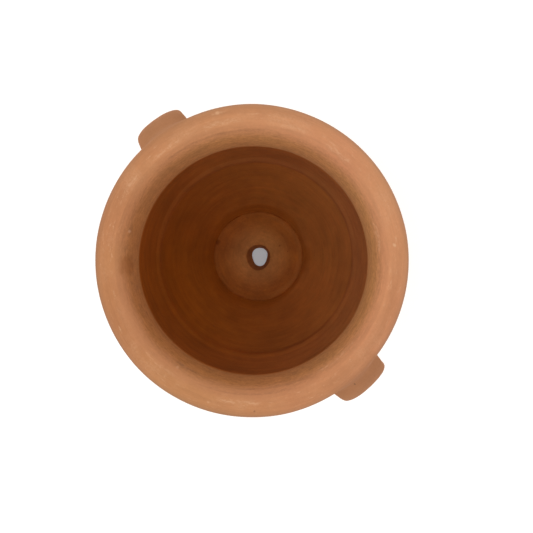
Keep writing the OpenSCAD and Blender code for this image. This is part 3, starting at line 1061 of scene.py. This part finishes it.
def floor_clay():
    looks, pot = bpy.context.scene.clay_looks, bpy.context.scene.pot_sizes
    # Painted shade: middle, the mean of the darker inside colours, stands in for the shade on the floor.
    burnt_and_shade, middle = looks.burnt_and_shade, tuple((a + b) / 2 for a, b in zip(looks.deep, looks.deep_pale))

    def lit_middle_and_hole_shade(place, within, shade):
        """Painted light: the floor is lighter towards the drain hole, where more light reaches it. Painted
        shade: the hole is darker inside.
        """
        lit_within, unlit_from, hole_edge = 0.014, 0.052, 0.004
        dark_below, darkest_below, darkest = 0.0167, 0.0152, 0.6
        radius = radius_of(place)
        shade = blend(remap(radius, lit_within, unlit_from, 1.0, 0.0) * within, shade, looks.floor)
        # Painted shade: the funnel and bore of the drain hole darken below the floor's top.
        hole = calculate("LESS_THAN", radius, pot.funnel_radius + hole_edge) * within
        deep = remap(height_of(place), dark_below, darkest_below, 0.0, darkest)
        return blend(hole * deep, shade, burnt_and_shade)

    return fired_clay(
        "Floor clay", (looks.clay, looks.clay_pale), tint=lit_middle_and_hole_shade,
        painted_inside_shade=(pot.neck_height, pot.height, (middle, middle), looks.inside_turn),
        streaks=0.45, blotches=0.15, patches=2.0, speckle=1.0,
        # Painted shade and light: the burnt rings are painted shade beside the floor's tool step, and the
        # ring in the floor's colour is painted light on the rise beyond it.
        strokes=[
            (0.0417, 0.0050, -128.5, 80, burnt_and_shade, 0.20), (0.0530, 0.0050, -128.5, 95, looks.floor, 0.30),
            (0.0400, 0.0040, 141.5, 60, burnt_and_shade, 0.12),
        ],
        marks=[
            ((0.0472, 0.0297, 0.016), (0.0048, 0.0048, 0.004), burnt_and_shade, 0.8, 0.3),
            ((-0.0064, -0.0302, 0.016), (0.0016, 0.0016, 0.004), burnt_and_shade, 0.7, 0.3),
            ((-0.0183, -0.0334, 0.016), (0.0012, 0.0012, 0.004), burnt_and_shade, 0.5, 0.3),
        ],
    )


def coil_clay():
    looks = bpy.context.scene.clay_looks
    # Painted shade: the coil takes the darker inside colours of the wall above the seam.
    return fired_clay("Coil clay", (looks.above, looks.above_pale), streaks=0.28, blotches=0.55, patches=1.2)


def lug_clay():
    looks, pot = bpy.context.scene.clay_looks, bpy.context.scene.pot_sizes

    def smeared_root(place, within, shade):
        """Where the lug's clay is smeared over the lip it takes the lip's colour in place of the lug's
        painted shade.
        """
        on_lip = remap(radius_of(place), pot.lip_radius - 0.0075, pot.lip_radius + 0.0015, 1.0, 0.0)
        high = remap(height_of(place), pot.height - 0.026, pot.height - 0.016)
        return blend(on_lip * high, shade, toned(place, (looks.clay, looks.clay_pale), looks.side_turn))

    # Painted shade: the lugs are darker than the rim, for the shade under the lip.
    return fired_clay(
        "Lug clay", (looks.lug, looks.lug), tint=smeared_root,
        streaks=0.1, blotches=0.2, lines=0.0, lines_shade=0.0,
        marks=[((-0.1552, -0.0040, 0.268), (0.0020, 0.0011, 0.012), looks.soot_and_shade, 0.95, 0.5)],
    )


# Mesh of a strap lug


def unit(vectors):
    return vectors / np.linalg.norm(vectors, axis=1)[:, None]


def strap_frame(pot, lug, u, short, narrow):
    """Middle points (radius, height) of a strap at u, the way out of the pot, its width and its thickness."""
    # How far the handles lie above the strap's ends, as shares of its drop, and how far the foot sinks,
    # as a share of its embedding
    root_lift, foot_lift, foot_sink = 0.02, 0.28, 0.4
    foot_height = pot.belly_height + lug.foot_rise
    root = np.array([pot.neck_radius + pot.neck_wall, pot.height - pot.lip_height + lug.root_rise])
    foot = np.array([radius_at(outer_face(pot), foot_height) - lug.embed,
                     foot_height - lug.embed * foot_sink])
    reach = pot.lip_radius + lug.out - short
    # Half way along, the middle line lies at an eighth of root + 6 far + foot
    far = (8 * (reach - lug.thickness / 2) - root[0] - foot[0]) / 6
    drop = root[1] - foot[1]
    handle_a = np.array([far, root[1] + drop * root_lift])
    handle_b = np.array([far, foot[1] + drop * foot_lift])
    t = u[:, None]
    middle = cubic(t, root, handle_a, handle_b, foot)
    way = unit((1 - t) ** 2 * (handle_a - root) + 2 * (1 - t) * t * (handle_b - handle_a)
               + t ** 2 * (foot - handle_b))
    ends = (2 * u - 1) ** 2
    width = lug.width + (np.where(u < 0.5, lug.root_width, lug.foot_width) - lug.width) * ends - narrow
    thickness = lug.thickness + (lug.root_thickness - lug.thickness) * ends ** 2
    return middle, np.column_stack([-way[:, 1], way[:, 0]]), width, thickness


def smear(start, inward, wall_point, sideways, rows):
    """Rows of points that sweep from the strap's side down onto the wall, like clay smeared with a thumb."""
    t, fullness = np.linspace(0, 1, rows)[:, None, None], 0.42
    handle = np.linalg.norm(wall_point - start, axis=1)[:, None] * fullness
    return cubic(t, start, start + inward * handle, wall_point - sideways * handle, wall_point)


def strap_points(pot, lug, short, narrow, around=72, fine=900, free_rows=64, smear_rows=10):
    """Rows of points of a lug at +X from its upper root to its lower one, each with points around it."""
    # Where the smears start, as a share of their widths, how deep their ends and the last points lie in the
    # wall, how far those points lie back, the step in which a line's direction is measured, and the
    # width of the top smear at the foot as a share of that at the root
    start_off, sunk, buried, set_back, probe, foot_share = 0.9, 0.0005, 0.003, 0.002, 0.0005, 0.8
    outer = outer_face(pot)
    middle, out, width, thickness = strap_frame(pot, lug, np.linspace(0, 1, fine), short, narrow)
    a = (np.arange(around) + 0.5) / around * math.tau

    def squarer(value):
        return np.sign(value) * np.abs(value) ** (2 / lug.squareness)

    rise, side = thickness[:, None] / 2 * squarer(np.sin(a)), squarer(np.cos(a))
    lines = np.stack([
        middle[:, 0, None] + out[:, 0, None] * rise - lug.bow * side ** 2,
        width[:, None] / 2 * side * np.ones_like(rise),
        middle[:, 1, None] + out[:, 1, None] * rise,
    ], axis=2)
    clear = np.hypot(lines[..., 0], lines[..., 1]) - radius_at(outer, lines[..., 2])
    steps = np.linalg.norm(np.diff(lines, axis=0), axis=2)
    travelled = np.concatenate([np.zeros((1, around)), np.cumsum(steps, axis=0)])

    def smear_width(top, under):
        flat = np.sin(a) ** 2
        return lug.fillet_side * (1 - flat) + np.where(np.sin(a) > 0, top, under) * flat

    widths = smear_width(lug.fillet_top, lug.fillet_under)
    climbs = smear_width(lug.over_lip, lug.fillet_under)
    foot_widths = smear_width(lug.fillet_top * foot_share, lug.fillet_under)

    def crossing(j, k):
        """How far along line j it passes through the wall's face, between its points k and k + 1."""
        part = clear[k, j] / (clear[k, j] - clear[k + 1, j])
        return travelled[k, j] + part * (travelled[k + 1, j] - travelled[k, j])

    half = fine // 2
    starts = np.array([crossing(j, np.nonzero(clear[:half, j] < 0)[0][-1]) for j in range(around)])
    stops = np.array([crossing(j, half + np.nonzero(clear[half:, j] < 0)[0][0] - 1) for j in range(around)])

    def at(distance):
        """Points of every line at its own distance along it."""
        return np.stack([[np.interp(distance[j], travelled[:, j], lines[:, j, k]) for k in range(3)]
                         for j in range(around)])

    climbed = -outer[:, ALONG]

    def wall_at(climb, turn):
        """Places on the outside, with the ways out of it, up along it and round it there."""
        radius, height, out_r, out_z = (np.interp(climb, climbed, outer[:, k]) for k in (R, Z, OUT_R, OUT_Z))
        cos, sin, none = np.cos(turn), np.sin(turn), np.zeros_like(turn)
        return (np.column_stack([radius * cos, radius * sin, height]),
                np.column_stack([out_r * cos, out_r * sin, out_z]),
                np.column_stack([-out_z * cos, -out_z * sin, out_r]),
                np.column_stack([-sin, cos, none]))

    def landing(distance, widths):
        """Where a smear ends on the wall, and the ways along the wall to it and out of the wall there."""
        point = at(distance)
        turn = np.arctan2(point[:, 1], point[:, 0])
        climb = np.interp(point[:, 2], outer[:, Z], climbed)
        _, _, up, round_way = wall_at(climb, turn)
        index = np.clip((distance / travelled[-1] * (fine - 1)).astype(int), 0, fine - 1)
        away = point - np.column_stack([middle[index, 0], np.zeros(around), middle[index, 1]])
        rise, slide = np.einsum("ij,ij->i", away, up), np.einsum("ij,ij->i", away, round_way)
        total = np.hypot(rise, slide)
        rise, slide = rise / total, slide / total
        end_turn = turn + slide * widths / np.hypot(point[:, 0], point[:, 1])
        end, normal, up, round_way = wall_at(climb + rise * widths, end_turn)
        return end - normal * sunk, up * rise[:, None] + round_way * slide[:, None], normal

    root_end, root_way, root_normal = landing(starts, climbs)
    foot_end, foot_way, foot_normal = landing(stops, foot_widths)
    first, last = starts + widths * start_off, stops - foot_widths * start_off
    rows = [at(first + (last - first) * s) for s in np.linspace(0, 1, free_rows)]
    inward = unit(rows[0] - at(first + probe))
    onward = unit(rows[-1] - at(last - probe))
    root_rows = smear(rows[0], inward, root_end, root_way, smear_rows)[1:]
    foot_rows = smear(rows[-1], onward, foot_end, foot_way, smear_rows)[1:]
    root_tip = root_end - root_normal * buried - root_way * set_back
    foot_tip = foot_end - foot_normal * buried - foot_way * set_back
    return np.concatenate([[root_tip], root_rows[::-1], rows, foot_rows, [foot_tip]])


def lug_mesh(name, pot, lug, side):
    """A closed mesh of one lug. Side is 1 at +X and -1 at -X."""
    grid = strap_points(pot, lug, *((lug.right_short, lug.right_narrow) if side > 0 else (0.0, 0.0)))
    count, around = grid.shape[:2]
    turned = grid.copy()
    turned[..., 0] = (grid[..., 0] * math.cos(-lug.swing) - grid[..., 1] * math.sin(-lug.swing)) * side
    turned[..., 1] = grid[..., 0] * math.sin(-lug.swing) + grid[..., 1] * math.cos(-lug.swing)
    points = np.vstack([turned.reshape(-1, 3), turned[0].mean(0), turned[-1].mean(0)])
    start, stop, last = count * around, count * around + 1, (count - 1) * around
    pairs = [(j, (j + 1) % around) for j in range(around)]
    faces = [(row + j, row + k, row + around + k, row + around + j)
             for row in range(0, last, around) for j, k in pairs]
    faces += [(start, k, j) for j, k in pairs] + [(stop, last + j, last + k) for j, k in pairs]
    if side < 0:
        faces = [face[::-1] for face in faces]
    mesh = bpy.data.meshes.new(name)
    mesh.from_pydata(points.tolist(), [], faces)
    mesh.polygons.foreach_set("use_smooth", [True] * len(faces))
    mesh.update()
    free, offset, wide, fine = mesh.vertices[around:last], Vector((7.0 * side, 2.0, 5.0)), 42.0, 130.0
    dented = [
        vertex.co + vertex.normal * lug.unevenness * (
            noise.noise(vertex.co * wide + offset) + 0.5 * noise.noise(vertex.co * fine))
        for vertex in free
    ]
    for vertex, place in zip(free, dented):
        vertex.co = place
    return mesh


# Operators: one for each piece or group of like pieces


class MakeBaseSlab(bpy.types.Operator):
    """Make the base slab: the floor disc with its drain hole and bevelled edge"""

    bl_idname = "planter.base_slab"
    bl_label = "Base slab"

    def execute(self, context):
        pot = context.scene.pot_sizes
        bore_shift = around_axis(pot.drain_shift, pot.drain_turn)
        funnel_shift = bore_shift + around_axis(pot.funnel_shift, pot.funnel_turn)
        turn_on_wheel("base_slab", [
            *hole_rows(pot, bore_shift, funnel_shift),
            floor_rows(pot, funnel_shift),
            *foot_rows(pot, bore_shift),
        ], floor_clay())
        return {"FINISHED"}


class MakeLowerWall(bpy.types.Operator):
    """Make the lower wall, which stands on the slab's bevel and ends in a key"""

    bl_idname = "planter.lower_wall"
    bl_label = "Lower wall"

    def execute(self, context):
        pot = context.scene.pot_sizes
        seam = pot.seam_height
        turn_on_wheel("lower_wall", [
            inside_rows(pot, pot.floor_height, seam),
            key_rows(pot, seam),
            outside_rows(pot, pot.foot_height, seam),
        ], lower_wall_clay())
        return {"FINISHED"}


class MakeUpperWall(bpy.types.Operator):
    """Make the upper wall, from the seam over the belly up to the neck"""

    bl_idname = "planter.upper_wall"
    bl_label = "Upper wall"

    def execute(self, context):
        pot = context.scene.pot_sizes
        seam, neck = pot.seam_height, pot.neck_height
        turn_on_wheel("upper_wall", [
            key_rows(pot, seam)[::-1],
            inside_rows(pot, seam, neck),
            key_rows(pot, neck),
            outside_rows(pot, seam, neck),
        ], wall_clay())
        return {"FINISHED"}


class MakeSeamCoil(bpy.types.Operator):
    """Make the coil of clay that is pressed over the inside of the seam"""

    bl_idname = "planter.seam_coil"
    bl_label = "Seam coil"

    def execute(self, context):
        pot = context.scene.pot_sizes
        half = pot.coil_height / 2
        face = between(inner_face(pot), pot.seam_height - half, pot.seam_height + half)
        from_middle = (face[:, Z] - pot.seam_height) / half
        sunk_edge, sunk_back, fullness = 0.0002, 0.0012, 1.8
        swell = pot.coil_depth * np.cos(from_middle * math.pi / 2) ** fullness - sunk_edge
        bead, back = face.copy(), face.copy()
        for line, way in ((bead, swell), (back, -sunk_back)):
            line[:, R] += line[:, OUT_R] * way
            line[:, Z] += line[:, OUT_Z] * way
        turn_on_wheel("seam_coil", [
            with_marks(bead, ring_strength_inside(bead[:, Z]), within=1.0),
            with_marks(back, ring_strength_inside(back[:, Z]))[::-1],
        ], coil_clay())
        return {"FINISHED"}


class MakeRimCollar(bpy.types.Operator):
    """Make the rim collar: the flared mouth with its rolled lip"""

    bl_idname = "planter.rim_collar"
    bl_label = "Rim collar"

    def execute(self, context):
        pot = context.scene.pot_sizes
        neck, crest = pot.neck_height, pot.height
        turn_on_wheel("rim_collar", [
            key_rows(pot, neck)[::-1],
            inside_rows(pot, neck, crest),
            outside_rows(pot, neck, crest)[1:],
        ], rim_clay())
        return {"FINISHED"}


class MakeLugs(bpy.types.Operator):
    """Make the two strap lugs, luted on from the lip to the belly"""

    bl_idname = "planter.lugs"
    bl_label = "Strap lugs"

    def execute(self, context):
        pot, lug = context.scene.pot_sizes, context.scene.lug_sizes
        clay = lug_clay()
        for node, side in (("lug_right", 1), ("lug_left", -1)):
            name = node + "_clay"
            piece = bpy.data.objects.new(name, lug_mesh(name, pot, lug, side))
            context.scene.collection.objects.link(piece)
            piece.data.materials.append(clay)
            finish_piece(piece, node)
        return {"FINISHED"}


class MakeStage(bpy.types.Operator):
    """Make the pale ground, the soft light and the camera above the pot"""

    bl_idname = "planter.stage"
    bl_label = "Stage"

    def execute(self, context):
        stage = context.scene.stage_settings
        self.make_ground(context, stage)
        self.make_light(context, stage)
        self.make_camera(context, stage)
        context.scene.view_settings.view_transform = "Standard"
        return {"FINISHED"}

    def make_ground(self, context, stage):
        foot, half, soft_edge = context.scene.pot_sizes.foot_radius, 6.0, 0.01
        # Painted shadow and light: under the pot the ground glows dimmer and bluer, standing in for its
        # shadow and the little light that reaches it through the drain hole.
        painted_shadow_glow, glow_around = (0.65, 0.86, 1.0), (1.0, 0.985, 0.98)
        mesh = bpy.data.meshes.new("ground")
        corners = [(-half, -half, 0), (half, -half, 0), (half, half, 0), (-half, half, 0)]
        mesh.from_pydata(corners, [], [(0, 1, 2, 3)])
        ground = bpy.data.objects.new("ground", mesh)
        context.scene.collection.objects.link(ground)
        material, tree, surface = start_material("Pale ground")
        place = result(tree, "ShaderNodeTexCoord", output="Object")
        out = remap(radius_of(place), foot - soft_edge, foot)
        finish_material(tree, surface, {
            "Base Color": stage.ground,
            "Roughness": 0.95,
            "Specular IOR Level": 0.1,
            "Emission Color": blend(out, painted_shadow_glow, glow_around),
            "Emission Strength": remap(out, 0.0, 1.0, stage.shaded_glow, stage.ground_glow, smooth=False),
        })
        mesh.materials.append(material)

    def make_light(self, context, stage):
        world = bpy.data.worlds.new("Soft white room")
        world.use_nodes = True
        sky = world.node_tree.nodes["Background"]
        sky.inputs["Color"].default_value = (1.0, 0.99, 0.98, 1.0)
        sky.inputs["Strength"].default_value = stage.sky
        context.scene.world = world
        lamp = bpy.data.lights.new("Key light", "AREA")
        lamp.shape, lamp.size, lamp.energy = "DISK", 1.2, stage.key
        light = bpy.data.objects.new("Key light", lamp)
        light.location = (0.77, 1.17, 1.60)
        light.rotation_euler = (-Vector(light.location)).to_track_quat("-Z", "Y").to_euler()
        context.scene.collection.objects.link(light)

    def make_camera(self, context, stage):
        right = Vector(direction_of(stage.turn))
        up = Vector((-right.y, right.x, 0.0))
        forward = Vector((0, 0, -1)) - right * math.tan(stage.tilt_left) - up * math.tan(stage.tilt_down)
        forward.normalize()
        side = (right - forward * right.dot(forward)).normalized()
        top = side.cross(forward)
        place = right * stage.camera_right + up * stage.camera_up + Vector((0, 0, stage.camera_height))
        camera = bpy.data.objects.new("Camera", bpy.data.cameras.new("Camera"))
        camera.data.lens = stage.lens
        camera.matrix_world = Matrix.Translation(place) @ Matrix((side, top, -forward)).transposed().to_4x4()
        context.scene.collection.objects.link(camera)
        context.scene.camera = camera


SETTINGS = (
    ("pot_sizes", PotSizes, "Pot"),
    ("lug_sizes", LugSizes, "Lugs"),
    ("throwing_marks", ThrowingMarks, "Throwing marks"),
    ("clay_looks", ClayLooks, "Clay"),
    ("stage_settings", StageSettings, "Stage"),
)
MAKERS = (MakeBaseSlab, MakeLowerWall, MakeUpperWall, MakeSeamCoil, MakeRimCollar, MakeLugs, MakeStage)


class PlanterPanel(bpy.types.Panel):
    """Lists the pieces of the planter with their sizes and colours"""

    bl_idname = "VIEW3D_PT_planter"
    bl_label = "Terracotta planter"
    bl_space_type = "VIEW_3D"
    bl_region_type = "UI"
    bl_category = "Planter"

    def draw(self, context):
        for name, group, title in SETTINGS:
            box = self.layout.box()
            box.label(text=title)
            for setting in group.__annotations__:
                box.prop(getattr(context.scene, name), setting)
        for maker in MAKERS:
            self.layout.operator(maker.bl_idname)


def register():
    for name, group, _ in SETTINGS:
        bpy.utils.register_class(group)
        setattr(bpy.types.Scene, name, PointerProperty(type=group))
    for group in (*MAKERS, PlanterPanel):
        bpy.utils.register_class(group)


def unregister():
    for group in (PlanterPanel, *reversed(MAKERS)):
        bpy.utils.unregister_class(group)
    for name, group, _ in reversed(SETTINGS):
        delattr(bpy.types.Scene, name)
        bpy.utils.unregister_class(group)


def main():
    register()
    bpy.ops.planter.base_slab()
    bpy.ops.planter.lower_wall()
    bpy.ops.planter.upper_wall()
    bpy.ops.planter.seam_coil()
    bpy.ops.planter.rim_collar()
    bpy.ops.planter.lugs()
    bpy.ops.planter.stage()


if __name__ == "__main__":
    main()
